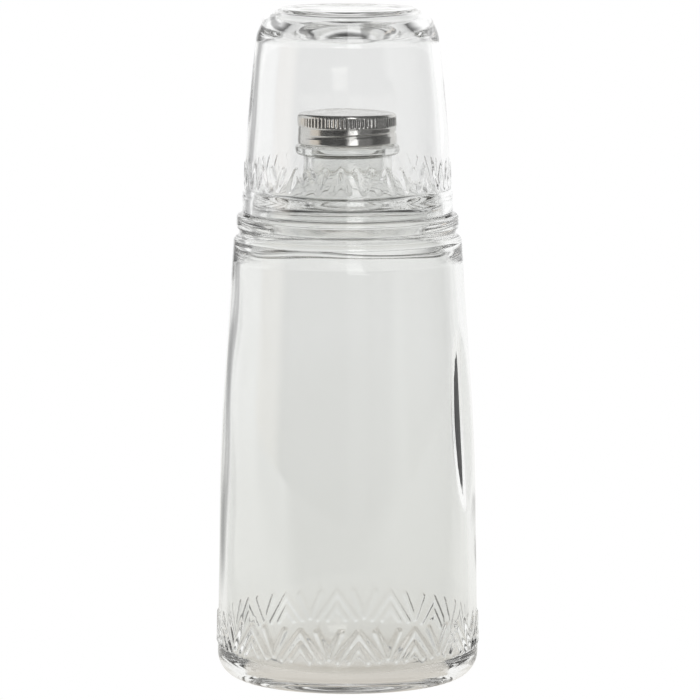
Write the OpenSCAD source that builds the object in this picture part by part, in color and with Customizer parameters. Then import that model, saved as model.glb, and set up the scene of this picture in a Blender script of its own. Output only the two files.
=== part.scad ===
// Pressed-glass water carafe with a knurled metal screw cap, and a tumbler that
// stands upside down over the cap on a ring round the carafe's shoulder.
// Millimetres, +Z up, origin at the centre of the plane that the carafe stands on.

/* [Bottle] */
// Radius of the wall just above the heel
body_r = 52.4; // [51:0.1:54]
// Radius of the wall just under the shoulder
shoulder_r = 45.7; // [45:0.1:46.2]
// Height of the shoulder's outer edge
shoulder_z = 179; // [176:0.5:181]
// Height at which the wall starts to bend inwards
bend_low_z = 75; // [60:1:90]
// Height at which the wall runs straight again
bend_high_z = 120; // [110:1:135]
// How much the wall draws in over one millimetre of height below the bend
low_draft = 0.0146; // [0.005:0.0005:0.02]
// Thickness of the wall
bottle_wall = 3.4; // [2.6:0.1:4]
// Radius of the rounded heel
heel_r = 9.3; // [6:0.1:11]
// Thickness of the glass above the standing ring
floor_t = 7.5; // [6:0.1:9]
// Rise of the base inside the standing ring
push_up = 3.5; // [2:0.1:5]
// Width of the flat standing ring
ring_w = 6; // [4:0.1:8]

/* [Shoulder ring and neck] */
// Height of the ledge that carries the tumbler
ledge_z = 187.5; // [185:0.5:189]
// Outer radius of the shoulder ring
ledge_r = 44.45; // [43.5:0.05:45]
// Radius of the raised seat inside the tumbler's mouth
seat_r = 38.2; // [37.5:0.1:38.4]
// Height of the top of the seat
seat_z = 196.5; // [194:0.5:198]
// Radius of the neck, and of the roots of its thread
neck_r = 17.6; // [17.4:0.1:17.8]
// Radius of the crest of the neck's thread
thread_r = 18.7; // [18.5:0.05:18.75]
// Radius of the bore through the neck
bore_r = 14.5; // [13.5:0.1:15]
// Radius of the glass collar below the cap
collar_r = 20.8; // [20.5:0.1:21.5]
// Height of the top of the collar
collar_z = 215.2; // [214.8:0.1:215.3]
// Height of the bottle's sealing lip
lip_z = 226.5; // [226:0.1:227]

/* [Screw cap] */
// Height of the lower edge of the skirt
cap_z = 215.6; // [215.5:0.05:216]
// Height of the top of the cap
cap_top_z = 228.2; // [227.8:0.1:228.4]
// Outer radius of the skirt
cap_r = 19.8; // [19.6:0.05:20]
// Thickness of the sheet metal
sheet_t = 0.5; // [0.3:0.05:0.6]
// Number of ribs in the knurl
knurl_count = 72; // [60:1:90]
// Depth of the knurl
knurl_depth = 0.3; // [0.2:0.05:0.35]
// Rise of the thread in one turn
pitch = 4.233; // [4.2:0.001:4.25]

/* [Tumbler] */
// Height of the tumbler's base when it stands upside down on the ledge
tumbler_top_z = 270; // [266:0.5:275]
// Radius of the straight band along the rim
rim_r = 42.1; // [41.8:0.1:42.4]
// Height of the band along the rim
rim_h = 9; // [6:0.5:10]
// Radius of the wall above the rim band
tumbler_low_r = 41.4; // [41:0.1:41.7]
// Radius of the wall at the shoulder of the base
tumbler_high_r = 36.3; // [35.5:0.1:37]
// Thickness of the wall
tumbler_wall = 3; // [2.6:0.1:3.3]
// Thickness of the base at its standing ring
tumbler_base_t = 4; // [3:0.1:4.5]
// Radius of the domed middle of the base
dome_r = 18; // [15:0.5:19]
// How far the dome bulges into the inside
dome_h = 5.2; // [3:0.1:6]

/* [Raised zigzag bands] */
// Number of repeats round the glass
band_repeats = 14; // [10:1:16]
// How far the bars stand out of the wall
band_relief = 0.9; // [0.5:0.1:1]
// Radius of one bar
bar_r = 1.3; // [1.1:0.1:1.6]

/* [Hidden] */
$fn = 96;

// Draft above the bend, such that the wall meets the shoulder
wall_start_z = heel_r;
bend_low_r = body_r - low_draft * (bend_low_z - wall_start_z);
bend_h = bend_high_z - bend_low_z;
shoulder_round = 2.2;
push_round = 3;
high_draft = (bend_low_r - shoulder_r - low_draft * bend_h / 2)
    / (shoulder_z - shoulder_round - bend_high_z + bend_h / 2);

// Neck and thread
lip_round = 0.8;
collar_h = 3.8;
collar_round = 1.7;
thread_low_z = 218.6;
thread_turns = 1.2;
thread_steps = 40;
thread_root_w = 2.2;
thread_crest_w = 0.9;
cap_thread_r = 18.15;
cap_thread_root_w = 1.5;
cap_thread_crest_w = 0.5;
thread_sunk = 0.25;

// Cap
cap_inner_r = 19;
cap_edge_round = 0.9;
cap_bead_round = 1;
cap_step_round = 0.5;
cap_bead_h = 3.9;
cap_band_depth = 0.2;
knurl_h = 4.1;
knurl_top_gap = 1;
liner_clearance = 0.3;

// Tumbler
facet_z = 259.5;
foot_outer_r = 27;
foot_inner_r = 22;
base_corner_r = 33.2;
base_corner_drop = 3.2;
facet_round = 9;
wall_top_gap = 3;
base_corner_round = 5;
foot_round = 1.5;
foot_h = 0.5;
hollow_h = 0.4;
cavity_foot_r = 26.5;
cavity_bend_z = 258;
cavity_bend_round = 7;
cavity_foot_round = 3;
rim_step_h = 1.4;
rim_round = 1;

// Bands: height of the middle of the row, height of the row, half width of one figure
bottle_band_z = 20.5;
bottle_band_h = 11;
bottle_figure_deg = 9;
bottle_inner_deg = 4.2;
bottle_valley_deg = 5.2;
bottle_valley_gap = 1;
bottle_band_turn = 4.8;
tumbler_band_z = 204;
tumbler_band_h = 7.6;
tumbler_figure_deg = 4.3;
tumbler_band_turn = 22;

// Points of an arc about [cx, cz], from angle a0 to angle a1
function arc(cx, cz, r, a0, a1, n = 8) =
    [for (i = [0 : n]) let (a = a0 + (a1 - a0) * i / n) [cx + r * cos(a), cz + r * sin(a)]];

// Outer radius of the bottle's wall at height z: straight, a soft bend, straight
function bottle_r(z) =
    z < bend_low_z ? body_r - low_draft * (z - wall_start_z)
    : z < bend_high_z ? bend_low_r - low_draft * (z - bend_low_z)
        - (high_draft - low_draft) * pow(z - bend_low_z, 2) / (2 * bend_h)
    : bend_low_r - (low_draft + high_draft) * bend_h / 2 - high_draft * (z - bend_high_z);

// Outer radius of the tumbler's wall at height z: a shallow barrel curve
tumbler_wall_low_z = ledge_z + rim_h + rim_step_h;
tumbler_bulge = 0.7;
function tumbler_r(z) =
    let (t = (z - tumbler_wall_low_z) / (facet_z - tumbler_wall_low_z))
    tumbler_low_r + (tumbler_high_r - tumbler_low_r) * t + 4 * tumbler_bulge * t * (1 - t);

// Wall points between two heights, inset from the outer surface. The bottle's wall is
// straight outside its bend, so it only has points between the bend's ends.
function bottle_wall_points(z0, z1, inset, n = 6) =
    let (bend = [for (i = [0 : n]) bend_low_z + bend_h * i / n])
    [for (z = concat([z0], bend, [z1])) [bottle_r(z) - inset, z]];
function tumbler_wall_points(z0, z1, inset, n = 4) =
    [for (i = [0 : n]) let (z = z0 + (z1 - z0) * i / n) [tumbler_r(z) - inset, z]];
function backwards(list) = [for (i = [len(list) - 1 : -1 : 0]) list[i]];

// Part of a ball that hangs depth below height z, from radius r in to the axis
function dome_points(r, z, depth, n = 8) =
    [for (i = [0 : n]) let (t = 1 - i / n) [r * t, z - depth * (1 - t * t)]];

// A corner between three points, rounded with radius r
function unit(v) = v / norm(v);
function turned(p, t) = [p[0] * cos(t) - p[1] * sin(t), p[0] * sin(t) + p[1] * cos(t)];
function rounded(a, b, c, r, n = 6) =
    let (
        u = unit(a - b),
        v = unit(c - b),
        half = acos(u * v) / 2,
        centre = b + unit(u + v) * r / sin(half),
        p = b + u * r / tan(half) - centre,
        turn = (cross(u, v) > 0 ? -1 : 1) * (180 - 2 * half)
    )
    [for (i = [0 : n]) centre + turned(p, turn * i / n)];

// Outside of the bottle, from the centre of the base up to the lip
ring_inner_r = body_r - heel_r - ring_w;
push_up_mid = [ring_inner_r / 2, push_up * 0.85];
groove_depth = 1.1;
groove_h = 2.2;
groove_r = ledge_r - groove_depth;
groove_z = shoulder_z + groove_h;
ledge_low_round = 1.6;
ledge_high_round = 1.2;
seat_draft = 0.4;
cone_h = 5.5;
seat_round = 3;
neck_root_round = 5;
cone_low = [seat_r - seat_draft, seat_z];
cone_high = [neck_r, seat_z + cone_h];
collar_low_z = collar_z - collar_h;
bottle_outside = concat(
    [[0, push_up], push_up_mid],
    rounded(push_up_mid, [ring_inner_r, 0], [body_r, 0], push_round),
    arc(body_r - heel_r, heel_r, heel_r, -90, 0, 12),
    bottle_wall_points(heel_r, shoulder_z - shoulder_round, 0),
    arc(shoulder_r - shoulder_round, shoulder_z - shoulder_round, shoulder_round, 20, 90, 5),
    [[groove_r, groove_z - groove_h / 2], [groove_r, groove_z]],
    arc(ledge_r - ledge_low_round, groove_z + ledge_low_round, ledge_low_round, -60, 0, 5),
    arc(ledge_r - ledge_high_round, ledge_z - ledge_high_round, ledge_high_round, 0, 90, 5),
    [[seat_r, ledge_z]],
    rounded([seat_r, ledge_z], cone_low, cone_high, seat_round),
    rounded(cone_low, cone_high, [neck_r, collar_low_z], neck_root_round),
    [[neck_r, collar_low_z]],
    arc(collar_r - collar_round, collar_low_z + collar_round, collar_round, -90, 0, 6),
    arc(collar_r - lip_round, collar_z - lip_round, lip_round, 0, 90, 4),
    [[neck_r, collar_z]],
    arc(neck_r - lip_round, lip_z - lip_round, lip_round, 0, 90, 4)
);

// Inside of the bottle, from the lip down to the centre of the floor
inner_heel_r = 7;
inner_heel_z = floor_t + inner_heel_r;
cavity_r = bottle_r(inner_heel_z) - bottle_wall;
cavity_top = [seat_r - seat_draft - bottle_wall - 2, seat_z - bottle_wall - 2];
cavity_neck = [bore_r, seat_z + 2.4];
cavity_side = [cavity_top[0] + 1, groove_z + 4];
cavity_shoulder_z = shoulder_z - 19;
cavity_shoulder = [bottle_r(cavity_shoulder_z) - bottle_wall, cavity_shoulder_z];
cavity_straight_z = shoulder_z - 9;
cavity_neck_round = 7;
cavity_top_round = 4;
cavity_side_round = 5;
floor_rise = 1.6;
bottle_inside = concat(
    arc(bore_r + lip_round, lip_z - lip_round, lip_round, 90, 180, 4),
    rounded([bore_r, lip_z], cavity_neck, cavity_top, cavity_neck_round),
    rounded(cavity_neck, cavity_top, cavity_side, cavity_top_round),
    rounded(cavity_top, cavity_side, cavity_shoulder, cavity_side_round),
    backwards(bottle_wall_points(inner_heel_z, cavity_straight_z, bottle_wall)),
    arc(cavity_r - inner_heel_r, inner_heel_z, inner_heel_r, 0, -90, 8),
    [[push_up_mid[0], floor_t + floor_rise * 0.75], [0, floor_t + floor_rise]]
);

// Outside of the tumbler, from the rim up to the centre of the base
rim_inner_r = rim_r - tumbler_wall;
rim_inner_low = [rim_inner_r, ledge_z];
rim_outer_low = [rim_r, ledge_z];
rim_outer_high = [rim_r, ledge_z + rim_h];
wall_high_z = facet_z - 19.5;
facet_edge = [tumbler_high_r, facet_z];
base_corner = [base_corner_r, tumbler_top_z - base_corner_drop];
foot_corner = [foot_outer_r, tumbler_top_z];
tumbler_outside = concat(
    rounded(rim_inner_low, rim_outer_low, rim_outer_high, rim_round, 4),
    [rim_outer_high],
    tumbler_wall_points(tumbler_wall_low_z, facet_z - wall_top_gap, 0),
    rounded([tumbler_r(wall_high_z), wall_high_z], facet_edge, base_corner, facet_round),
    rounded(facet_edge, base_corner, foot_corner, base_corner_round),
    rounded(base_corner, foot_corner, [0, tumbler_top_z], foot_round),
    [[foot_inner_r, tumbler_top_z]],
    dome_points(foot_inner_r - foot_h, tumbler_top_z - foot_h, hollow_h)
);

// Inside of the tumbler, from the centre of the domed floor down to the rim
tumbler_floor_z = tumbler_top_z - tumbler_base_t;
cavity_foot = [cavity_foot_r, tumbler_floor_z];
cavity_bend = [tumbler_r(cavity_bend_z) - tumbler_wall, cavity_bend_z];
cavity_low_z = cavity_bend_z - 4;
cavity_low = [tumbler_r(cavity_low_z) - tumbler_wall, cavity_low_z];
tumbler_inside = concat(
    backwards(dome_points(dome_r, tumbler_floor_z, dome_h)),
    rounded([dome_r, tumbler_floor_z], cavity_foot, cavity_bend, cavity_foot_round),
    rounded(cavity_foot, cavity_bend, cavity_low, cavity_bend_round),
    backwards(tumbler_wall_points(ledge_z + rim_h, cavity_low_z - 2, tumbler_wall)),
    rounded([rim_inner_r, ledge_z + rim_h], rim_inner_low, rim_outer_low, rim_round, 4)
);

// A helical ridge on radius root_r: root_w wide there, crest_w wide at crest_r,
// starting at height z0, whose ends fade into the wall
module thread_ridge(root_r, crest_r, root_w, crest_w, z0, turns) {
    rings = ceil(turns * thread_steps);
    fade = 6;
    function grow(i) = min(1, min(i, rings - i) / fade);
    function top_r(i) = root_r + (crest_r - root_r) * max(0.05, grow(i));
    function ring(i) =
        let (
            a = 360 * turns * i / rings,
            z = z0 + pitch * turns * i / rings,
            c = [cos(a), sin(a)],
            k = max(0.35, grow(i))
        )
        [
            [root_r * c[0], root_r * c[1], z - k * root_w / 2],
            [top_r(i) * c[0], top_r(i) * c[1], z - k * crest_w / 2],
            [top_r(i) * c[0], top_r(i) * c[1], z + k * crest_w / 2],
            [root_r * c[0], root_r * c[1], z + k * root_w / 2]
        ];
    points = [for (i = [0 : rings]) each ring(i)];
    sides = [
        for (i = [0 : rings - 1])
            for (j = [0 : 3])
                let (a = 4 * i + j, b = 4 * i + (j + 1) % 4)
                    [a, a + 4, b + 4, b]
    ];
    ends = [[0, 1, 2, 3], [4 * rings + 3, 4 * rings + 2, 4 * rings + 1, 4 * rings]];
    faces = concat(sides, ends);
    polyhedron(points, crest_r > root_r ? [for (f = faces) backwards(f)] : faces);
}

// One straight bar on a wall, between two points given as [degrees, height, radius]
module bar(a, b) {
    sink = bar_r - band_relief;
    p = [(a[2] - sink) * cos(a[0]), (a[2] - sink) * sin(a[0]), a[1]];
    q = [(b[2] - sink) * cos(b[0]), (b[2] - sink) * sin(b[0]), b[1]];
    d = q - p;
    translate(p)
        rotate([0, acos(d[2] / norm(d)), atan2(d[1], d[0])])
            cylinder(h = norm(d), r = bar_r, $fn = 24);
}

// A figure of two bars that meet at height z_point and stand apart at height z_open
module figure(deg, half_deg, z_point, z_open, r_point, r_open) {
    for (side = [-1, 1])
        bar([deg, z_point, r_point], [deg + side * half_deg, z_open, r_open]);
}

module bottle_band() {
    step = 360 / band_repeats;
    z0 = bottle_band_z - bottle_band_h / 2;
    z1 = bottle_band_z + bottle_band_h / 2;
    zm = bottle_band_z;
    zv = z0 + bottle_valley_gap;
    for (i = [0 : band_repeats - 1]) {
        deg = bottle_band_turn - 90 + i * step;
        figure(deg, bottle_figure_deg, z1, z0, bottle_r(z1), bottle_r(z0));
        figure(deg, bottle_inner_deg, zm, z0, bottle_r(zm), bottle_r(z0));
        figure(deg + step / 2, bottle_valley_deg, zv, z1, bottle_r(zv), bottle_r(z1));
    }
}

module tumbler_band() {
    step = 360 / band_repeats;
    z0 = tumbler_band_z - tumbler_band_h / 2;
    z1 = tumbler_band_z + tumbler_band_h / 2;
    for (i = [0 : band_repeats - 1]) {
        deg = tumbler_band_turn - 90 + i * step;
        figure(deg, tumbler_figure_deg, z1, z0, tumbler_r(z1), tumbler_r(z0));
        figure(deg + step / 2, tumbler_figure_deg, z0, z1, tumbler_r(z0), tumbler_r(z1));
    }
}

module bottle() {
    color("lightcyan", 0.6)
        union() {
            rotate_extrude() polygon(concat(bottle_outside, bottle_inside));
            thread_ridge(
                neck_r - thread_sunk, thread_r, thread_root_w, thread_crest_w,
                thread_low_z, thread_turns);
            bottle_band();
        }
}

// Sheet-metal cap: rolled bead, plain band, knurl and flat top, threaded inside
cap_bead_z = cap_z + cap_bead_h;
cap_knurl_z = cap_top_z - knurl_top_gap - knurl_h;
cap_core_r = cap_r - knurl_depth;
cap_band_r = cap_r - cap_band_depth;
cap_outline = concat(
    [[0, cap_z]],
    arc(cap_r - cap_bead_round, cap_z + cap_bead_round, cap_bead_round, -90, 0, 4),
    arc(cap_r - cap_step_round, cap_bead_z - cap_step_round, cap_step_round, 0, 66, 3),
    [[cap_band_r, cap_bead_z + cap_band_depth], [cap_band_r, cap_knurl_z], [cap_core_r, cap_knurl_z]],
    arc(cap_core_r - cap_edge_round, cap_top_z - cap_edge_round, cap_edge_round, 0, 90, 5),
    [[0, cap_top_z]]
);

module knurl() {
    translate([0, 0, cap_knurl_z])
        linear_extrude(knurl_h)
            polygon([
                for (i = [0 : 2 * knurl_count - 1])
                    let (r = cap_r - (i % 2) * knurl_depth, a = 180 * i / knurl_count)
                        [r * cos(a), r * sin(a)]
            ]);
}

module cap_shell() {
    color("silver")
        union() {
            difference() {
                union() {
                    rotate_extrude() polygon(cap_outline);
                    knurl();
                }
                translate([0, 0, cap_z - 1])
                    cylinder(h = cap_top_z - sheet_t - cap_z + 1, r = cap_inner_r);
            }
            rotate([0, 0, 180])
                thread_ridge(
                    cap_inner_r + thread_sunk, cap_thread_r, cap_thread_root_w, cap_thread_crest_w,
                    thread_low_z, thread_turns - 0.1);
        }
}

module cap_liner() {
    color("ivory")
        translate([0, 0, lip_z])
            cylinder(h = cap_top_z - sheet_t - lip_z, r = cap_inner_r - liner_clearance);
}

module tumbler() {
    color("lightcyan", 0.5)
        union() {
            rotate_extrude() polygon(concat(tumbler_outside, tumbler_inside));
            tumbler_band();
        }
}

bottle();
cap_shell();
cap_liner();
tumbler();
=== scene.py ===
"""Looks of the glass carafe, its upturned tumbler and its metal screw cap.

Everything stands in the CAD model's own frame, in metres. Lengths in this script are in
millimetres and are scaled by MM when a mesh is made. The main heights and radii come from
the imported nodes' boxes, and the smaller ones are set off from those.
"""

import math
import random

import bpy
import numpy as np
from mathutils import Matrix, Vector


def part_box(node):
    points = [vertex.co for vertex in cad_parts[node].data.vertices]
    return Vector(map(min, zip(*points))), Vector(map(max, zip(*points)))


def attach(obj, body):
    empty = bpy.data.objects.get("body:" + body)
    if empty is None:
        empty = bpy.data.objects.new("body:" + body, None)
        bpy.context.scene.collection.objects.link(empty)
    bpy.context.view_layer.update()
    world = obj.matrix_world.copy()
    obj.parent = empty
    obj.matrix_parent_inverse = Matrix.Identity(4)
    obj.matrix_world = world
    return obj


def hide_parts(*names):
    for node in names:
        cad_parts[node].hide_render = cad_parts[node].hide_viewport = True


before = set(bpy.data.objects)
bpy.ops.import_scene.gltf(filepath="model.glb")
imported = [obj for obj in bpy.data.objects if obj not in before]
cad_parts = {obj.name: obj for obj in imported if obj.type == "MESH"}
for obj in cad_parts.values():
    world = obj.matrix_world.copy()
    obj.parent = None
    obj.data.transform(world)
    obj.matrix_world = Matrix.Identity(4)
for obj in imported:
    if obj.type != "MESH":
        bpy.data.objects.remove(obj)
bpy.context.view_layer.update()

MM = 0.001
TURN = 2 * math.pi


def node_box(node):
    """Lowest and highest corner of a node, in millimetres."""
    low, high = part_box(node)
    return [v / MM for v in low], [v / MM for v in high]


BOTTLE_HIGH = node_box("bottle")[1]
CAP_LOW, CAP_HIGH = node_box("cap_shell")
LINER_LOW, LINER_HIGH = node_box("cap_liner")
TUMBLER_LOW, TUMBLER_HIGH = node_box("tumbler")

LIP_Z = BOTTLE_HIGH[2]
LEDGE_Z = TUMBLER_LOW[2]
TOP_Z = TUMBLER_HIGH[2]
CAP_Z = CAP_LOW[2]
CAP_TOP_Z = CAP_HIGH[2]
CAP_R = CAP_HIGH[0]
LINER_R = LINER_HIGH[0]

# The raised bands: repeats round the glass, height and half width of the bars, turn in degrees,
# and how far the finely divided rows reach past the band
REPEATS = 14
BOTTLE_RELIEF = 0.58
TUMBLER_RELIEF = 0.36
BAR_HALF_WIDTH = 1.8
BOTTLE_BAND_TURN = 4.8
TUMBLER_BAND_TURN = 22.0
BAND_MARGIN = 1.6
BAND_ROW = 0.4

# Bottle
BODY_R = 52.4
SHOULDER_R = 45.7
SHOULDER_Z = LEDGE_Z - 8.5
HEEL_R = 10.5
PUSH_UP = 3.5
PUSH_R = 32.0
FLOOR_T = 5.5
FLOOR_RISE = 1.6
INNER_HEEL_R = 9.0
BOTTLE_WALL = 3.4
GROOVE_Z = SHOULDER_Z + 2.2
LEDGE_R = 44.45
LEDGE_LOW_ROUND = 1.6
LEDGE_TOP_ROUND = 1.2
SEAT_R = 38.2
SEAT_Z = LEDGE_Z + 9
SEAT_DRAFT = 0.4
CONE_H = 5.5
CAVITY_INSET = 2.4
CAVITY_DROP = 2.0
NECK_R = 17.6
BORE_R = 14.5
COLLAR_R = 20.8
COLLAR_Z = CAP_Z - 0.4
COLLAR_H = 3.8
COLLAR_LOW_ROUND = 1.7
COLLAR_TOP_ROUND = 0.8
LIP_ROUND = 0.9
BAND_Z = 20.5
BAND_H = 11.0

# A thicker streak in the wall: place in degrees and height, half sizes and thickness
STREAK_DEG = -20.0
STREAK_HALF_DEG = 11.0
STREAK_Z = 106.0
STREAK_HALF_H = 37.0
STREAK_T = 2.3

# Thread of the neck and the cap
PITCH = 4.233
THREAD_R = 18.7
THREAD_Z = 218.6
THREAD_TURNS = 1.2

# Tumbler
RIM_R = 42.1
RIM_H = 9.0
WALL_LOW_R = 41.4
WALL_HIGH_R = 36.3
FACET_Z = TOP_Z - 10.5
RIM_ROUND = 1.3
TUMBLER_WALL = 3.0
RIM_Z = LEDGE_Z + 0.03
INNER_RIM_R = RIM_R - TUMBLER_WALL
TUMBLER_BASE_T = 4.0
TUMBLER_CORNER = 7.0
FOOT_R = 27.0
FOOT_ROUND = 1.5
CORNER_R = 33.2
CORNER_DROP = 3.2
CORNER_ROUND = 5.0
FACET_ROUND = 9.0
FACET_START_Z = 240.0
FOOT_INNER_R = 22.0
CAVITY_FOOT_R = 26.5
FOOT_H = 0.5
DOME_R = 18.0
DOME_H = 5.2
TUMBLER_BAND_Z = LEDGE_Z + 16.5
TUMBLER_BAND_H = 7.6


# ---------------------------------------------------------------- outlines

def arc(cx, cz, r, a0, a1, n=8):
    """Points of an arc about (cx, cz) from angle a0 to a1 in degrees."""
    angles = [math.radians(a0 + (a1 - a0) * i / n) for i in range(n + 1)]
    return [(cx + r * math.cos(a), cz + r * math.sin(a)) for a in angles]


def rounded(a, b, c, r, n=6):
    """The corner at b between a and c, rounded with radius r."""
    a, b, c = (np.array(p, float) for p in (a, b, c))
    u = (a - b) / np.linalg.norm(a - b)
    v = (c - b) / np.linalg.norm(c - b)
    half = math.acos(float(np.clip(u @ v, -1, 1))) / 2
    centre = b + (u + v) / np.linalg.norm(u + v) * r / math.sin(half)
    p = b + u * r / math.tan(half) - centre
    turn = (math.pi - 2 * half) * (-1 if u[0] * v[1] - u[1] * v[0] > 0 else 1)
    points = []
    for i in range(n + 1):
        t = turn * i / n
        points.append(tuple(centre + (p[0] * math.cos(t) - p[1] * math.sin(t),
                                      p[0] * math.sin(t) + p[1] * math.cos(t))))
    return points


def line(a, b, step):
    """Points from a up to, but not including, b, no more than step apart."""
    n = max(1, math.ceil(math.dist(a, b) / step))
    return [(a[0] + (b[0] - a[0]) * i / n, a[1] + (b[1] - a[1]) * i / n) for i in range(n)]


def dense(points, step):
    """The same outline with its long stretches split into steps."""
    out = []
    for a, b in zip(points, points[1:]):
        out += line(a, b, step)
    return out + [points[-1]]


LOW_DRAFT = 0.0146
BEND_LOW_Z = 75.0
BEND_HIGH_Z = 120.0
BEND_H = BEND_HIGH_Z - BEND_LOW_Z
SHOULDER_ROUND = 2.2
BEND_LOW_R = BODY_R - LOW_DRAFT * (BEND_LOW_Z - HEEL_R)
HIGH_DRAFT = (BEND_LOW_R - SHOULDER_R - LOW_DRAFT * BEND_H / 2) / (
    SHOULDER_Z - SHOULDER_ROUND - BEND_HIGH_Z + BEND_H / 2)


def bottle_r(z):
    """Outer radius of the bottle's wall: straight, a soft bend, straight."""
    if z < BEND_LOW_Z:
        return BODY_R - LOW_DRAFT * (z - HEEL_R)
    if z < BEND_HIGH_Z:
        t = z - BEND_LOW_Z
        return BEND_LOW_R - LOW_DRAFT * t - (HIGH_DRAFT - LOW_DRAFT) * t * t / (2 * BEND_H)
    return BEND_LOW_R - (LOW_DRAFT + HIGH_DRAFT) * BEND_H / 2 - HIGH_DRAFT * (z - BEND_HIGH_Z)


RIM_STEP_H = 1.4
WALL_LOW_Z = LEDGE_Z + RIM_H + RIM_STEP_H
BULGE = 0.7


def tumbler_r(z):
    """Outer radius of the tumbler's wall: a shallow barrel curve."""
    t = (z - WALL_LOW_Z) / (FACET_Z - WALL_LOW_Z)
    return WALL_LOW_R + (WALL_HIGH_R - WALL_LOW_R) * t + 4 * BULGE * t * (1 - t)


def dome(radius, z, depth, n=14):
    """A hollow from (radius, z) down to the axis, as part of a ball."""
    return [(radius * (1 - i / n), z - depth * (1 - (1 - i / n) ** 2)) for i in range(n + 1)]


def heights(z0, z1, step):
    """Heights from z0 to z1, both included, no more than step apart."""
    n = max(1, math.ceil(abs(z1 - z0) / step))
    return [z0 + (z1 - z0) * i / n for i in range(n + 1)]


# ---------------------------------------------------------------- turned meshes

COLUMNS = REPEATS * 14
FINE = 4


class Rings:
    """Rows of a turned surface. Each ring has a radius, a height, a column count and a shaping function."""

    def __init__(self):
        self.rows = []

    def add(self, points, shape=None, fine=1):
        for r, z in points:
            if self.rows and math.dist((r, z), self.rows[-1][:2]) < 0.02:
                continue
            self.rows.append((r, z, fine, shape))

    def mesh(self, name, columns=COLUMNS):
        """One closed mesh; a first or last row on the axis becomes a pole."""
        vertices, faces, rings = [], [], []
        count = 0
        for r, z, fine, shape in self.rows:
            if r < 1e-6:
                vertices.append(np.array([[0.0, 0.0, z]]))
                rings.append([count])
                count += 1
                continue
            n = columns * fine
            theta = np.arange(n) * TURN / n
            rr, zz = np.full(n, r), np.full(n, z)
            if shape:
                rr, zz = shape(theta, rr, zz)
            vertices.append(np.stack([rr * np.cos(theta), rr * np.sin(theta), zz], 1))
            rings.append(list(range(count, count + n)))
            count += n
        for a, b in zip(rings, rings[1:]):
            faces += bridge(a, b)
        if len(rings[0]) > 1:
            faces += bridge(rings[-1], rings[0])
        data = bpy.data.meshes.new(name)
        data.from_pydata((np.concatenate(vertices) * MM).tolist(), [], faces)
        data.polygons.foreach_set("use_smooth", [True] * len(data.polygons))
        if signed_volume(data) < 0:
            data.flip_normals()
        data.update()
        piece = bpy.data.objects.new(name, data)
        bpy.context.scene.collection.objects.link(piece)
        return piece


def bridge(a, b):
    """Faces between two rings whose column counts are equal, or one a multiple of the other."""
    if len(a) == 1:
        n = len(b)
        return [(a[0], b[i], b[(i + 1) % n]) for i in range(n)]
    if len(b) == 1:
        return [tuple(reversed(f)) for f in bridge(b, a)]
    if len(a) > len(b):
        return [tuple(reversed(f)) for f in bridge(b, a)]
    n, k = len(a), len(b) // len(a)
    if k == 1:
        return [(a[i], b[i], b[(i + 1) % n], a[(i + 1) % n]) for i in range(n)]
    faces = []
    for i in range(n):
        a0, a1 = a[i], a[(i + 1) % n]
        for j in range(k // 2):
            faces.append((a0, b[k * i + j], b[k * i + j + 1]))
        faces.append((a0, b[k * i + k // 2], a1))
        for j in range(k // 2, k):
            faces.append((a1, b[k * i + j], b[(k * i + j + 1) % (k * n)]))
    return faces


def signed_volume(data):
    """Volume inside a mesh, negative when its faces look inwards."""
    co = np.empty(len(data.vertices) * 3)
    data.vertices.foreach_get("co", co)
    co = co.reshape(-1, 3)
    data.calc_loop_triangles()
    tri = np.empty(len(data.loop_triangles) * 3, int)
    data.loop_triangles.foreach_get("vertices", tri)
    a, b, c = (co[tri.reshape(-1, 3)[:, i]] for i in range(3))
    return float(np.einsum("ij,ij->i", a, np.cross(b, c)).sum() / 6)


def waves(seed, amplitude, count, max_turns, max_waves, height):
    """A smooth uneven surface over angle and height, as a sum of seeded waves."""
    rng = random.Random(seed)
    terms = []
    for _ in range(count):
        m = rng.randint(1, max_turns)
        k = rng.uniform(0.3, max_waves) * TURN / height
        size = amplitude / (1 + 0.35 * m)
        terms.append((m, k, rng.uniform(0, TURN), size * rng.uniform(0.5, 1)))

    def offset(theta, z):
        total = np.zeros_like(theta)
        for m, k, phase, size in terms:
            total += size * np.sin(m * theta + k * z + phase)
        return total

    return offset


def streak(theta, z):
    """Extra thickness of the bottle's wall in a long, narrow streak."""
    across = np.degrees((theta - math.radians(STREAK_DEG) + math.pi) % TURN - math.pi) / STREAK_HALF_DEG
    along = (z - STREAK_Z) / STREAK_HALF_H
    inside = np.clip(1 - across ** 2 - along ** 2, 0, 1)
    return STREAK_T * inside ** 1.5


def zigzag(figures, radius, centre_z, turn_deg, relief, half_width):
    """Height of the raised bars over the wall. figures are lists of bars, each bar two
    points given as (degrees, height above the middle of the band), within one repeat."""
    step = 360 / REPEATS
    bars = []
    for shift in (-step, 0, step):
        for (d0, h0), (d1, h1) in figures:
            bars.append((np.array([math.radians(d0 + shift) * radius, h0]),
                         np.array([math.radians(d1 + shift) * radius, h1])))

    def height(theta, z):
        degrees = np.degrees(theta) + 90 - turn_deg
        u = np.radians((degrees + step / 2) % step - step / 2) * radius
        p = np.stack([u, z - centre_z], 1)
        nearest = np.full(len(theta), 1e9)
        for a, b in bars:
            ab = b - a
            t = np.clip(((p - a) @ ab) / (ab @ ab), 0, 1)
            nearest = np.minimum(nearest, np.linalg.norm(p - a - t[:, None] * ab, axis=1))
        d = np.clip(nearest / half_width, 0, 1)
        return relief * (0.5 + 0.5 * np.cos(math.pi * d)) ** 0.8

    return height


def peak(centre, half, point, foot):
    """Two bars that meet at (centre, point) and open out to (centre +- half, foot)."""
    return [((centre, point), (centre - half, foot)), ((centre, point), (centre + half, foot))]


# ---------------------------------------------------------------- bottle

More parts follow.
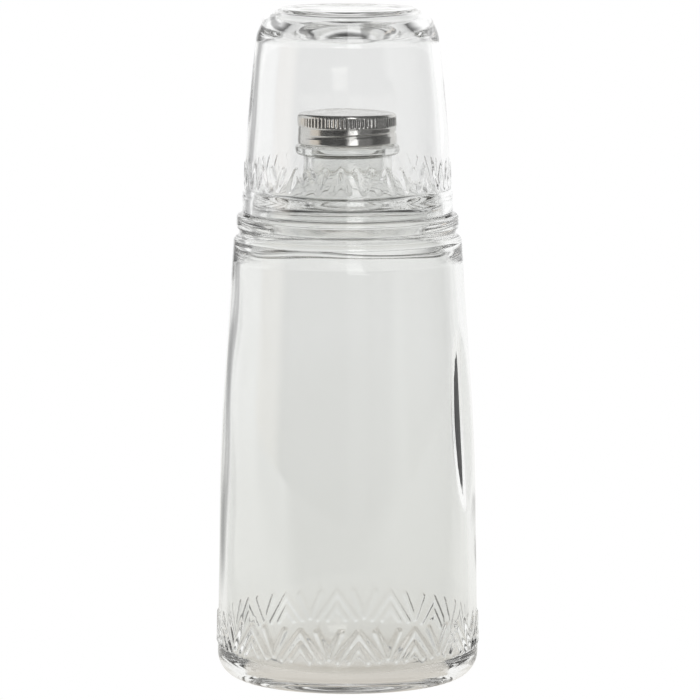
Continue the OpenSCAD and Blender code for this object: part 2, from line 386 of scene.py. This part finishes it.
def bottle_surface():
    """Shaping functions of the bottle: plain wall, raised band, inner wall and thread."""
    half = BAND_H / 2
    step = 360 / REPEATS
    figures = (peak(0, 9.0, half, -half) + peak(0, 4.2, 0, -half)
               + peak(step / 2, 5.2, 1 - half, half))
    band = zigzag(figures, BODY_R, BAND_Z, BOTTLE_BAND_TURN, BOTTLE_RELIEF, BAR_HALF_WIDTH)
    inner_waves = waves(11, 0.10, 9, 7, 4, LEDGE_Z)
    outer_waves = waves(23, 0.025, 7, 6, 5, LEDGE_Z)

    def wall_outside(theta, r, z):
        return r + outer_waves(theta, z), z

    def banded(theta, r, z):
        return r + outer_waves(theta, z) + band(theta, z), z

    def wall_inside(theta, r, z):
        fade = np.clip((r - 20) / 20, 0, 1)
        return r + fade * inner_waves(theta, z) - streak(theta, z), z

    def threaded(theta, r, z):
        return r + thread_height(theta, z, THREAD_R - NECK_R, 1.1, 0.45, THREAD_TURNS, 0), z

    return wall_outside, banded, wall_inside, threaded


def bottle_base(rings, wall_outside):
    """The pushed-up middle, the ring that the bottle stands on and the heel."""
    under = [(0, PUSH_UP), (PUSH_R - 2, PUSH_UP * 0.6), (PUSH_R, 0), (BODY_R - HEEL_R, 0)]
    rings.add(dense([under[0], under[1]], 2)[:-1])
    rings.add(rounded(*under[:3], 2, 6))
    rings.add(rounded(*under[1:], 1.5, 6))
    rings.add(dense([(PUSH_R + 2, 0), (BODY_R - HEEL_R, 0)], 2))
    rings.add(arc(BODY_R - HEEL_R, HEEL_R, HEEL_R, -90, 0, 20), wall_outside)


def bottle_wall(rings, wall_outside, banded):
    """The outside of the wall, with its raised band, from the heel up to the shoulder."""
    low = BAND_Z - BAND_H / 2 - BAND_MARGIN
    high = BAND_Z + BAND_H / 2 + BAND_MARGIN
    wall_top = SHOULDER_Z - SHOULDER_ROUND
    rings.add([(bottle_r(z), z) for z in heights(HEEL_R, low, 2)], wall_outside)
    rings.add([(bottle_r(z), z) for z in heights(low + 0.1, high, BAND_ROW)], banded, FINE)
    rings.add([(bottle_r(z), z) for z in heights(high + 0.1, wall_top, 3)], wall_outside)


def bottle_shoulder(rings):
    """The shoulder, the groove over it, the ring that carries the tumbler and the raised seat."""
    groove_r = LEDGE_R - 1.1
    low_r = LEDGE_R - LEDGE_LOW_ROUND
    top_r = LEDGE_R - LEDGE_TOP_ROUND
    seat_low = (SEAT_R, LEDGE_Z)
    cone_low = (SEAT_R - SEAT_DRAFT, SEAT_Z)
    cone_high = (NECK_R, SEAT_Z + CONE_H)
    collar_foot = (NECK_R, COLLAR_Z - COLLAR_H)
    rings.add(arc(SHOULDER_R - SHOULDER_ROUND, SHOULDER_Z - SHOULDER_ROUND, SHOULDER_ROUND, 4, 90, 8))
    rings.add(rounded((SHOULDER_R, SHOULDER_Z), (groove_r, SHOULDER_Z + 0.1), (groove_r, LEDGE_Z), 0.4, 4))
    rings.add(arc(low_r, GROOVE_Z + 1.7, LEDGE_LOW_ROUND, -60, 0, 6))
    rings.add(arc(top_r, LEDGE_Z - LEDGE_TOP_ROUND, LEDGE_TOP_ROUND, 0, 90, 7))
    rings.add(dense(rounded((LEDGE_R, LEDGE_Z), seat_low, cone_low, 0.6, 4), 1.5))
    rings.add(dense(rounded(seat_low, cone_low, cone_high, 3, 8), 2))
    rings.add(dense(rounded(cone_low, cone_high, collar_foot, 5, 10), 2))
    rings.add(rounded(cone_high, collar_foot, (COLLAR_R, collar_foot[1]), 0.8, 4))


def bottle_neck(rings, threaded):
    """The collar, the threaded neck and the lip."""
    low_z = COLLAR_Z - COLLAR_H + COLLAR_LOW_ROUND
    top_z = COLLAR_Z - COLLAR_TOP_ROUND
    lip_z = LIP_Z - 0.02 - LIP_ROUND
    rings.add(arc(COLLAR_R - COLLAR_LOW_ROUND, low_z, COLLAR_LOW_ROUND, -90, 0, 8))
    rings.add(arc(COLLAR_R - COLLAR_TOP_ROUND, top_z, COLLAR_TOP_ROUND, 0, 90, 6))
    rings.add(rounded((COLLAR_R, COLLAR_Z), (NECK_R, COLLAR_Z), (NECK_R, LIP_Z), 0.4, 4))
    rings.add([(NECK_R, z) for z in heights(COLLAR_Z + 0.8, LIP_Z - 1.4, 0.25)], threaded)
    rings.add(arc(NECK_R - LIP_ROUND, lip_z, LIP_ROUND, 0, 90, 6))
    rings.add(arc(BORE_R + LIP_ROUND, lip_z, LIP_ROUND, 90, 180, 6))


def bottle_inside(rings, wall_inside):
    """The bore, the inside of the shoulder and wall, and the floor."""
    neck = (BORE_R, SEAT_Z + 2.4)
    top = (SEAT_R - BOTTLE_WALL - CAVITY_INSET, SEAT_Z - BOTTLE_WALL - CAVITY_DROP)
    side = (top[0] + 1, GROOVE_Z + 4)
    below = (bottle_r(160) - BOTTLE_WALL, 160)
    heel_z = FLOOR_T + INNER_HEEL_R
    floor_r = bottle_r(heel_z) - BOTTLE_WALL - INNER_HEEL_R
    rings.add(dense(rounded((BORE_R, LIP_Z), neck, top, 7, 8), 2.5))
    rings.add(dense(rounded(neck, top, side, 4, 7), 2.5), wall_inside)
    rings.add(dense(rounded(top, side, below, 7, 7), 2.5), wall_inside)
    rings.add([(bottle_r(z) - BOTTLE_WALL, z) for z in heights(170, heel_z, 2.8)], wall_inside)
    rings.add(arc(floor_r, heel_z, INNER_HEEL_R, 0, -90, 10), wall_inside)
    rings.add([(floor_r * (1 - i / 14), FLOOR_T + FLOOR_RISE * (0.5 - 0.5 * math.cos(math.pi * i / 14)))
               for i in range(1, 15)])


def bottle_piece():
    wall_outside, banded, wall_inside, threaded = bottle_surface()
    rings = Rings()
    bottle_base(rings, wall_outside)
    bottle_wall(rings, wall_outside, banded)
    bottle_shoulder(rings)
    bottle_neck(rings, threaded)
    bottle_inside(rings, wall_inside)
    return rings.mesh("bottle_glass")


def thread_height(theta, z, height, half_root, half_crest, turns, turn_deg):
    """Height of a right-hand thread above its root, with ends that fade into the wall."""
    total = np.zeros_like(theta)
    start = math.radians(turn_deg)
    for k in range(-1, 3):
        along = (theta - start) / TURN + k
        centre = THREAD_Z + PITCH * along
        fade = np.clip(np.minimum(along, turns - along) * 8, 0, 1)
        d = np.abs(z - centre)
        profile = np.clip((half_root - d) / (half_root - half_crest), 0, 1)
        profile = profile * profile * (3 - 2 * profile)
        total = np.maximum(total, height * fade * profile)
    return total


# ---------------------------------------------------------------- tumbler

def tumbler_surface():
    """Shaping functions of the tumbler: plain wall, raised band and inner wall."""
    half = TUMBLER_BAND_H / 2
    step = 360 / REPEATS
    figures = peak(0, 4.3, half, -half) + peak(step / 2, 4.3, -half, half)
    band = zigzag(figures, WALL_LOW_R, TUMBLER_BAND_Z, TUMBLER_BAND_TURN, TUMBLER_RELIEF,
                  BAR_HALF_WIDTH)
    inner_waves = waves(5, 0.07, 8, 6, 3, 80)
    outer_waves = waves(31, 0.02, 6, 5, 3, 80)

    def wall_outside(theta, r, z):
        return r + outer_waves(theta, z), z

    def banded(theta, r, z):
        return r + outer_waves(theta, z) + band(theta, z), z

    def wall_inside(theta, r, z):
        return r + inner_waves(theta, z), z

    return wall_outside, banded, wall_inside


def tumbler_outside(wall_outside, banded):
    """From the rim, which is at the bottom, up the wall and over the base to the axis."""
    low = TUMBLER_BAND_Z - TUMBLER_BAND_H / 2 - BAND_MARGIN
    high = TUMBLER_BAND_Z + TUMBLER_BAND_H / 2 + BAND_MARGIN
    rim_foot = (RIM_R, LEDGE_Z)
    rim_top = (RIM_R, LEDGE_Z + RIM_H)
    wall_low = (WALL_LOW_R, WALL_LOW_Z)
    edge = (WALL_HIGH_R, FACET_Z)
    corner = (CORNER_R, TOP_Z - CORNER_DROP)
    foot = (FOOT_R, TOP_Z)
    hollow_z = TOP_Z - FOOT_H
    rings = Rings()
    rings.add(arc(INNER_RIM_R + RIM_ROUND, RIM_Z + RIM_ROUND, RIM_ROUND, 180, 270, 5))
    rings.add(arc(RIM_R - RIM_ROUND, RIM_Z + RIM_ROUND, RIM_ROUND, 270, 360, 6))
    rings.add(dense(rounded(rim_foot, rim_top, wall_low, 1.2, 4), 2))
    rings.add(rounded(rim_top, wall_low, (tumbler_r(low + 3), low + 3), 0.8, 3))
    rings.add([(tumbler_r(z), z) for z in heights(low, high, BAND_ROW)], banded, FINE)
    rings.add([(tumbler_r(z), z) for z in heights(high + 0.1, FACET_Z - 7, 2)], wall_outside)
    rings.add(dense(rounded((tumbler_r(FACET_START_Z), FACET_START_Z), edge, corner, FACET_ROUND, 10), 1.5))
    rings.add(dense(rounded(edge, corner, foot, CORNER_ROUND, 8), 1.5))
    rings.add(dense(rounded(corner, foot, (0, TOP_Z), FOOT_ROUND, 6), 1.5))
    rings.add(dense([(FOOT_INNER_R, TOP_Z), (FOOT_INNER_R - 2, hollow_z), (0, hollow_z)], 1.5))
    return rings


def tumbler_inside(wall_inside):
    """Back down from the middle of the floor to the rim."""
    floor_z = TOP_Z - TUMBLER_BASE_T
    corner_high = (CAVITY_FOOT_R, floor_z)
    corner_low_z = FACET_Z - 1.5
    corner_low = (tumbler_r(corner_low_z) - TUMBLER_WALL, corner_low_z)
    wall_top_z = corner_low_z - 4
    wall_top = (tumbler_r(wall_top_z) - TUMBLER_WALL, wall_top_z)
    wall = heights(wall_top_z - 2, LEDGE_Z + RIM_H, 2)
    rings = Rings()
    rings.add(list(reversed(dome(DOME_R, floor_z, DOME_H))))
    rings.add(dense(rounded((DOME_R, floor_z), corner_high, corner_low, 3, 6), 1.5))
    rings.add(dense(rounded(corner_high, corner_low, wall_top, TUMBLER_CORNER, 8), 1.5))
    rings.add([(tumbler_r(z) - TUMBLER_WALL, z) for z in wall], wall_inside)
    rings.add(dense([(INNER_RIM_R, LEDGE_Z + RIM_H - 2), (INNER_RIM_R, RIM_Z + RIM_ROUND)], 2))
    return rings


def tumbler_piece():
    wall_outside, banded, wall_inside = tumbler_surface()
    outside = tumbler_outside(wall_outside, banded)
    return closed_vessel("tumbler_glass", outside, tumbler_inside(wall_inside))


def closed_vessel(name, outside, inside):
    """Joins an outside that ends on the axis and an inside that starts on it, at their rim."""
    whole = Rings()
    whole.rows = list(reversed(outside.rows)) + list(reversed(inside.rows[:-1]))
    return whole.mesh(name)


# ---------------------------------------------------------------- cap

KNURL_COUNT = 72
KNURL_DEPTH = 0.32
SHEET_T = 0.45
BEAD_TOP_Z = CAP_Z + 3.9
KNURL_LOW_Z = CAP_TOP_Z - 5.1
KNURL_HIGH_Z = CAP_TOP_Z - 0.9
PANEL_R = 15.6
PANEL_Z = CAP_TOP_Z - 0.25
EDGE_ROUND = 1.2
CAP_BAND_R = CAP_R - 0.2
CAP_INNER_R = CAP_R - 0.8
CAP_CEILING_Z = CAP_TOP_Z - SHEET_T - 0.03
GROOVE_DEPTH = 0.42
INNER_RIDGE = 0.8


def cap_ribs(theta, z):
    """Depth of the knurl, which fades out at both ends."""
    fade_in = np.clip((z - KNURL_LOW_Z) / 0.5, 0, 1)
    fade_out = np.clip((KNURL_HIGH_Z + 0.4 - z) / 0.9, 0, 1)
    wave = 0.5 + 0.5 * np.cos(KNURL_COUNT * theta)
    return KNURL_DEPTH * (fade_in * fade_out) * (wave ** 0.7 - 1)


def cap_groove(theta, z, depth):
    """Depth of the thread that is rolled into the skirt."""
    return thread_height(theta, z, depth, 0.75, 0.15, THREAD_TURNS - 0.1, 180)


def cap_outside(theta, r, z):
    return r + cap_ribs(theta, z) - cap_groove(theta, z, GROOVE_DEPTH), z


def cap_inside(theta, r, z):
    return r + cap_ribs(theta, z) * 0.6 - cap_groove(theta, z, INNER_RIDGE), z


def cap_pieces():
    """The sheet-metal cap: top panel, knurl, threaded band, bead, curled edge and inside."""
    rings = Rings()
    rings.add([(0, PANEL_Z)])
    rings.add(dense([(1, PANEL_Z), (PANEL_R, PANEL_Z)], 2))
    rings.add([(16.2, CAP_TOP_Z - 0.15), (16.8, CAP_TOP_Z - 0.02), (17.4, CAP_TOP_Z)])
    rings.add(arc(CAP_R - 1.25, CAP_TOP_Z - EDGE_ROUND, EDGE_ROUND, 90, 8, 8))
    knurl = heights(CAP_TOP_Z - 1.4, KNURL_LOW_Z - 0.2, 0.25)
    band = heights(KNURL_LOW_Z - 0.4, BEAD_TOP_Z + 0.3, 0.2)
    bead = heights(BEAD_TOP_Z - 0.7, CAP_Z + 1.1, 0.2)
    skirt = heights(CAP_Z + 1.2, CAP_TOP_Z - 1.6, 0.25)
    rings.add([(CAP_R - 0.03, z) for z in knurl], cap_outside, FINE)
    rings.add([(CAP_BAND_R, z) for z in band], cap_outside)
    rings.add(arc(CAP_R - 0.5, BEAD_TOP_Z - 0.5, 0.5, 60, 0, 3), cap_outside)
    rings.add([(CAP_R, z) for z in bead], cap_outside)
    rings.add(arc(CAP_R - 0.9, CAP_Z + 0.9, 0.9, 0, -90, 6))
    rings.add(arc(CAP_R - 0.9, CAP_Z + 0.45, 0.4, -90, -180, 4))
    rings.add([(CAP_INNER_R, z) for z in skirt], cap_inside)
    rings.add(arc(CAP_INNER_R - 0.8, CAP_CEILING_Z - 0.8, 0.8, 0, 90, 4))
    rings.add(dense([(16, CAP_CEILING_Z), (0, CAP_CEILING_Z)], 2))
    return rings.mesh("cap_metal", KNURL_COUNT * 3)


def liner_piece():
    """The sealing disc, with a shallow dent where the lip presses on it."""
    low, high = LINER_LOW[2], LINER_HIGH[2]
    rings = Rings()
    rings.add([(0, low + 0.02)])
    rings.add(dense([(1, low + 0.02), (BORE_R - 0.6, low + 0.02)], 2))
    rings.add(dense([(BORE_R - 0.2, low + 0.04), (NECK_R - 0.2, low + 0.04)], 1))
    rings.add(rounded((NECK_R, low + 0.02), (LINER_R, low + 0.02), (LINER_R, high), 0.25, 4))
    rings.add(rounded((LINER_R, low), (LINER_R, high - 0.3), (0, high - 0.3), 0.25, 4))
    rings.add(dense([(LINER_R - 1, high - 0.3), (0, high - 0.3)], 2))
    return rings.mesh("liner_disc", 96)


# ---------------------------------------------------------------- materials

def new_material(name):
    material = bpy.data.materials.new(name)
    material.use_nodes = True
    nodes, links = material.node_tree.nodes, material.node_tree.links
    shader = nodes["Principled BSDF"]
    return material, nodes, links, shader


def noise(nodes, links, scale, detail=3.0, roughness=0.5, stretch=(1, 1, 1)):
    """A noise over the object's own coordinates, stretched per axis."""
    coordinates = nodes.new("ShaderNodeTexCoord")
    mapping = nodes.new("ShaderNodeMapping")
    mapping.inputs["Scale"].default_value = stretch
    texture = nodes.new("ShaderNodeTexNoise")
    texture.inputs["Scale"].default_value = scale
    texture.inputs["Detail"].default_value = detail
    texture.inputs["Roughness"].default_value = roughness
    links.new(coordinates.outputs["Object"], mapping.inputs["Vector"])
    links.new(mapping.outputs["Vector"], texture.inputs["Vector"])
    return texture.outputs["Fac"]


def to_range(nodes, links, value, low, high, from_low=0.35, from_high=0.65):
    """A value remapped to low..high, by default from the middle of a noise's range."""
    remap = nodes.new("ShaderNodeMapRange")
    remap.inputs["From Min"].default_value = from_low
    remap.inputs["From Max"].default_value = from_high
    remap.inputs["To Min"].default_value = low
    remap.inputs["To Max"].default_value = high
    links.new(value, remap.inputs["Value"])
    return remap.outputs["Result"]


def bump(nodes, links, shader, value, strength, distance):
    node = nodes.new("ShaderNodeBump")
    node.inputs["Strength"].default_value = strength
    node.inputs["Distance"].default_value = distance
    links.new(value, node.inputs["Height"])
    links.new(node.outputs["Normal"], shader.inputs["Normal"])


def glass_material(name, tint, ripple):
    material, nodes, links, shader = new_material(name)
    shader.inputs["Base Color"].default_value = (*tint, 1)
    shader.inputs["Transmission Weight"].default_value = 1.0
    shader.inputs["IOR"].default_value = 1.52
    smudge = noise(nodes, links, 60, 4)
    links.new(to_range(nodes, links, smudge, 0.0, 0.03), shader.inputs["Roughness"])
    ripples = noise(nodes, links, 38, 1.5, 0.4, (1, 1, 0.45))
    bump(nodes, links, shader, ripples, ripple, 0.0004)
    return material


def metal_material():
    material, nodes, links, shader = new_material("tinplate")
    shader.inputs["Base Color"].default_value = (0.70, 0.69, 0.67, 1)
    shader.inputs["Metallic"].default_value = 1.0
    wear = noise(nodes, links, 240, 3, 0.5)
    links.new(to_range(nodes, links, wear, 0.12, 0.22), shader.inputs["Roughness"])
    scratches = noise(nodes, links, 420, 2, 0.5, (1, 1, 0.25))
    bump(nodes, links, shader, scratches, 0.05, 0.00004)
    return material


def foam_material():
    material, nodes, links, shader = new_material("foam")
    shader.inputs["Base Color"].default_value = (0.86, 0.85, 0.80, 1)
    grain = noise(nodes, links, 2600, 4, 0.6)
    links.new(to_range(nodes, links, grain, 0.55, 0.8), shader.inputs["Roughness"])
    bump(nodes, links, shader, grain, 0.3, 0.0001)
    return material


# ---------------------------------------------------------------- the object

def dress(piece, body, node, material):
    """Gives a piece its material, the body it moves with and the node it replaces."""
    piece.data.materials.append(material)
    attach(piece, body)
    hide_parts(node)


bottle_clear = glass_material("bottle_clear", (0.905, 0.91, 0.9), 0.15)
tumbler_clear = glass_material("tumbler_clear", (0.95, 0.953, 0.95), 0.12)
dress(bottle_piece(), "bottle", "bottle", bottle_clear)
dress(tumbler_piece(), "tumbler", "tumbler", tumbler_clear)
dress(cap_pieces(), "cap_shell", "cap_shell", metal_material())
dress(liner_piece(), "cap_liner", "cap_liner", foam_material())


# ---------------------------------------------------------------- stage, light and camera

COVE_RADIUS = 8.0
TABLE_RADIUS = 3.0
TABLE_FRONT = 0.6

# Brightness of the table by distance from the bottle's axis, in metres: a painted contact shadow, darker
# and warm brown under the base, paling to white further out
TABLE_SHADOW_STOPS = [
    (0.030, (0.62, 0.58, 0.52)),
    (0.052, (0.75, 0.72, 0.67)),
    (0.075, (0.86, 0.85, 0.82)),
    (0.250, (0.92, 0.92, 0.90)),
    (1.200, (1.00, 1.00, 1.00)),
]
TABLE_FAR = 1.5

# The table falls into shade towards this azimuth, over this range of distance in metres
DIM_AZIMUTH = 28
DIM_RANGE = (0.03, 0.16)
FRONT_DIM = 0.3

# Least brightness of the table and the room for light that comes straight through the glass,
# with no reflection on the way
OPEN_TABLE = 0.8
OPEN_ROOM = 0.62

# A shaded gap beside the white backdrop: its azimuth, half width, softness and brightness, and
# the distances in metres between which it fades in on the table
GAP_AZIMUTH = -150
GAP_HALF = 8
GAP_SOFT = 4
GAP_DEPTH = 0.42
GAP_REACH = (0.15, 0.45)

# A small bright card in front: size in metres, azimuth, distance, height and strength
CARD_SIZE = (0.070, 0.022)
CARD_AZIMUTH = 12
CARD_DISTANCE = 0.2
CARD_Z = 0.197
CARD_GLOW = 2.5


def only_for(piece, camera):
    """Shows a stage piece to the camera alone, or to everything but the camera."""
    piece.visible_camera = camera
    piece.visible_diffuse = not camera
    piece.visible_glossy = not camera
    piece.visible_transmission = not camera
    piece.visible_shadow = False


def white_cove():
    """The plain white surround that the camera sees round the object."""
    bpy.ops.mesh.primitive_ico_sphere_add(subdivisions=5, radius=COVE_RADIUS)
    cove = bpy.context.object
    cove.name = "white_cove"
    material, nodes, links, shader = new_material("cove_white")
    shader.inputs["Base Color"].default_value = (0, 0, 0, 1)
    shader.inputs["Specular IOR Level"].default_value = 0.0
    shader.inputs["Emission Color"].default_value = (1, 1, 1, 1)
    shader.inputs["Emission Strength"].default_value = 1.0
    cove.data.materials.append(material)
    only_for(cove, True)


def table():
    """The table as the glass shows it: pale behind, a painted contact shadow in warm brown under the base,
    ending in front.
    """
    bpy.ops.mesh.primitive_circle_add(vertices=128, radius=TABLE_RADIUS, fill_type="NGON",
                                      location=(0, TABLE_RADIUS - TABLE_FRONT, -0.0002))
    plane = bpy.context.object
    plane.name = "table"
    material, nodes, links, shader = new_material("pale_table")
    shader.inputs["Base Color"].default_value = (0, 0, 0, 1)
    shader.inputs["Specular IOR Level"].default_value = 0.0
    shader.inputs["Emission Strength"].default_value = 1.0
    place = nodes.new("ShaderNodeNewGeometry")
    distance = nodes.new("ShaderNodeVectorMath")
    distance.operation = "LENGTH"
    links.new(place.outputs["Position"], distance.inputs[0])
    along = to_range(nodes, links, distance.outputs["Value"], 0, 1, 0, TABLE_FAR)
    # The ramp paints a warm brown contact shadow under the base, paling to white further out.
    ramp = nodes.new("ShaderNodeValToRGB")
    stops = ramp.color_ramp.elements
    while len(stops) < len(TABLE_SHADOW_STOPS):
        stops.new(0.5)
    for stop, (where, colour) in zip(stops, TABLE_SHADOW_STOPS):
        stop.position = where / TABLE_FAR
        stop.color = (*colour, 1)
    links.new(along, ramp.inputs["Fac"])
    away = vector_math(nodes, links, "DOT_PRODUCT", place.outputs["Position"], heading_vector(DIM_AZIMUTH))
    front = smooth_step(nodes, links, away, *DIM_RANGE)
    flat = vector_math(nodes, links, "MULTIPLY", place.outputs["Position"], (1, 1, 0))
    heading = vector_math(nodes, links, "NORMALIZE", flat)
    reach = smooth_step(nodes, links, distance.outputs["Value"], *GAP_REACH)
    gap = gap_shade(nodes, links, heading, reach)
    dim = multiply(nodes, links, to_range(nodes, links, front, 1.0, FRONT_DIM, 0, 1), gap)
    scaled = nodes.new("ShaderNodeVectorMath")
    scaled.operation = "SCALE"
    links.new(ramp.outputs["Color"], scaled.inputs[0])
    path = nodes.new("ShaderNodeLightPath")
    lit = nodes.new("ShaderNodeMath")
    lit.operation = "MAXIMUM"
    links.new(dim, lit.inputs[0])
    links.new(to_range(nodes, links, path.outputs["Glossy Depth"], OPEN_TABLE, 0.0, 0, 1), lit.inputs[1])
    links.new(lit.outputs["Value"], scaled.inputs["Scale"])
    links.new(scaled.outputs["Vector"], shader.inputs["Emission Color"])
    plane.data.materials.append(material)
    only_for(plane, False)


def window_card():
    """A small bright card close by, whose reflection falls on the cap and not on the body."""
    width, height = CARD_SIZE
    bpy.ops.mesh.primitive_grid_add(x_subdivisions=2, y_subdivisions=2, size=1)
    card = bpy.context.object
    card.name = "window_card"
    card.scale = (width, height, 1)
    heading = heading_vector(CARD_AZIMUTH)
    card.location = (heading[0] * CARD_DISTANCE, heading[1] * CARD_DISTANCE, CARD_Z)
    card.rotation_euler = (math.pi / 2, 0, math.radians(CARD_AZIMUTH))
    material, nodes, links, shader = new_material("card_glow")
    shader.inputs["Base Color"].default_value = (0, 0, 0, 1)
    shader.inputs["Specular IOR Level"].default_value = 0.0
    shader.inputs["Emission Color"].default_value = (1, 1, 1, 1)
    shader.inputs["Emission Strength"].default_value = CARD_GLOW
    card.data.materials.append(material)
    only_for(card, False)


def gap_shade(nodes, links, heading, reach=None):
    """Brightness factor that drops to GAP_DEPTH in the gap beside the white backdrop."""
    toward = vector_math(nodes, links, "DOT_PRODUCT", heading, heading_vector(GAP_AZIMUTH))
    edge_out = math.cos(math.radians(GAP_HALF + GAP_SOFT))
    edge_in = math.cos(math.radians(GAP_HALF - GAP_SOFT))
    inside = smooth_step(nodes, links, toward, edge_out, edge_in)
    if reach is not None:
        inside = multiply(nodes, links, inside, reach)
    return to_range(nodes, links, inside, 1.0, GAP_DEPTH, 0, 1)


def heading_vector(azimuth):
    """Level unit vector at an azimuth in degrees, counted to the right of the camera."""
    angle = math.radians(azimuth)
    return (math.sin(angle), -math.cos(angle), 0)


# Light of the room by direction. Azimuths are in degrees to the right of the camera as seen
# from the object, elevations are the height of the direction's unit vector.
ROOM_COLOUR = (0.07, 0.07, 0.07)
PANELS = [
    # azimuth, half width, softness, lowest, highest, softness, colour
    (193, 75, 6, -2, 0.5, 0.15, (1.0, 1.0, 1.0)),
    (-97, 28, 8, -2, 0.3, 0.1, (1.05, 0.96, 0.86)),
    (40, 18, 5, -2, 0.6, 0.1, (0.22, 0.22, 0.22)),
    (10, 10, 2, -0.5, 0.25, 0.1, (0.25, 0.25, 0.25)),
    (10, 10, 2, 0.25, 0.8, 0.1, (3.0, 3.0, 3.0)),
    (0, 360, 1, 0.85, 2, 0.1, (0.15, 0.15, 0.15)),
]


def studio():
    """The room's light by direction: the brightest panel, the open room and the gap over them."""
    world = bpy.data.worlds.new("studio")
    bpy.context.scene.world = world
    world.use_nodes = True
    nodes, links = world.node_tree.nodes, world.node_tree.links
    coordinates = nodes.new("ShaderNodeTexCoord")
    flat = vector_math(nodes, links, "MULTIPLY", coordinates.outputs["Generated"], (1, 1, 0))
    heading = vector_math(nodes, links, "NORMALIZE", flat)
    split = nodes.new("ShaderNodeSeparateXYZ")
    links.new(coordinates.outputs["Generated"], split.inputs["Vector"])
    total = None
    for azimuth, half, soft, low, high, soft_z, colour in PANELS:
        toward = vector_math(nodes, links, "DOT_PRODUCT", heading, heading_vector(azimuth))
        edge_out = -1.1 if half >= 180 else math.cos(math.radians(half + soft))
        edge_in = -1.05 if half >= 180 else math.cos(math.radians(half - soft))
        across = smooth_step(nodes, links, toward, edge_out, edge_in)
        above = smooth_step(nodes, links, split.outputs["Z"], low - soft_z, low + soft_z)
        below = smooth_step(nodes, links, split.outputs["Z"], high + soft_z, high - soft_z)
        amount = multiply(nodes, links, multiply(nodes, links, across, above), below)
        panel = nodes.new("ShaderNodeVectorMath")
        panel.operation = "SCALE"
        panel.inputs[0].default_value = colour
        links.new(amount, panel.inputs["Scale"])
        if total is None:
            total = vector_math(nodes, links, "ADD", panel.outputs["Vector"], ROOM_COLOUR)
        else:
            joined = nodes.new("ShaderNodeVectorMath")
            joined.operation = "MAXIMUM"
            links.new(total, joined.inputs[0])
            links.new(panel.outputs["Vector"], joined.inputs[1])
            total = joined.outputs["Vector"]
    path = nodes.new("ShaderNodeLightPath")
    lit = nodes.new("ShaderNodeVectorMath")
    lit.operation = "MAXIMUM"
    links.new(total, lit.inputs[0])
    links.new(to_range(nodes, links, path.outputs["Glossy Depth"], OPEN_ROOM, 0.0, 0, 1), lit.inputs[1])
    shaded = nodes.new("ShaderNodeVectorMath")
    shaded.operation = "SCALE"
    links.new(lit.outputs["Vector"], shaded.inputs[0])
    links.new(gap_shade(nodes, links, heading), shaded.inputs["Scale"])
    links.new(shaded.outputs["Vector"], nodes["Background"].inputs["Color"])
    nodes["Background"].inputs["Strength"].default_value = 1.0


def vector_math(nodes, links, operation, value, constant=None):
    node = nodes.new("ShaderNodeVectorMath")
    node.operation = operation
    links.new(value, node.inputs[0])
    if constant:
        node.inputs[1].default_value = constant
    return node.outputs["Value" if operation == "DOT_PRODUCT" else "Vector"]


def smooth_step(nodes, links, value, low, high):
    node = nodes.new("ShaderNodeMapRange")
    node.interpolation_type = "SMOOTHSTEP"
    reverse = low > high
    node.inputs["From Min"].default_value = min(low, high)
    node.inputs["From Max"].default_value = max(low, high)
    node.inputs["To Min"].default_value = 1 if reverse else 0
    node.inputs["To Max"].default_value = 0 if reverse else 1
    links.new(value, node.inputs["Value"])
    return node.outputs["Result"]


def multiply(nodes, links, a, b):
    node = nodes.new("ShaderNodeMath")
    node.operation = "MULTIPLY"
    links.new(a, node.inputs[0])
    links.new(b, node.inputs[1])
    return node.outputs["Value"]


CAMERA_DISTANCE = 2.4
CAMERA_HEIGHT = 0.433
AIM = (0.00096, 0.0, 0.1324)
SENSOR = 36.0
FOCAL_LENGTH = 309.7


def camera():
    data = bpy.data.cameras.new("camera")
    data.sensor_width = SENSOR
    data.lens = FOCAL_LENGTH
    data.clip_start = 0.1
    data.clip_end = 100
    eye = bpy.data.objects.new("camera", data)
    bpy.context.scene.collection.objects.link(eye)
    eye.location = (0.0, -CAMERA_DISTANCE, CAMERA_HEIGHT)
    pitch = math.atan2(AIM[2] - CAMERA_HEIGHT, CAMERA_DISTANCE)
    yaw = -math.atan2(AIM[0], CAMERA_DISTANCE)
    eye.rotation_euler = (math.pi / 2 + pitch, 0, yaw)
    bpy.context.scene.camera = eye


white_cove()
table()
window_card()
studio()
camera()
bpy.context.scene.view_settings.view_transform = "Standard"
bpy.context.scene.cycles.max_bounces = 40
bpy.context.scene.cycles.glossy_bounces = 32
bpy.context.scene.cycles.transmission_bounces = 40
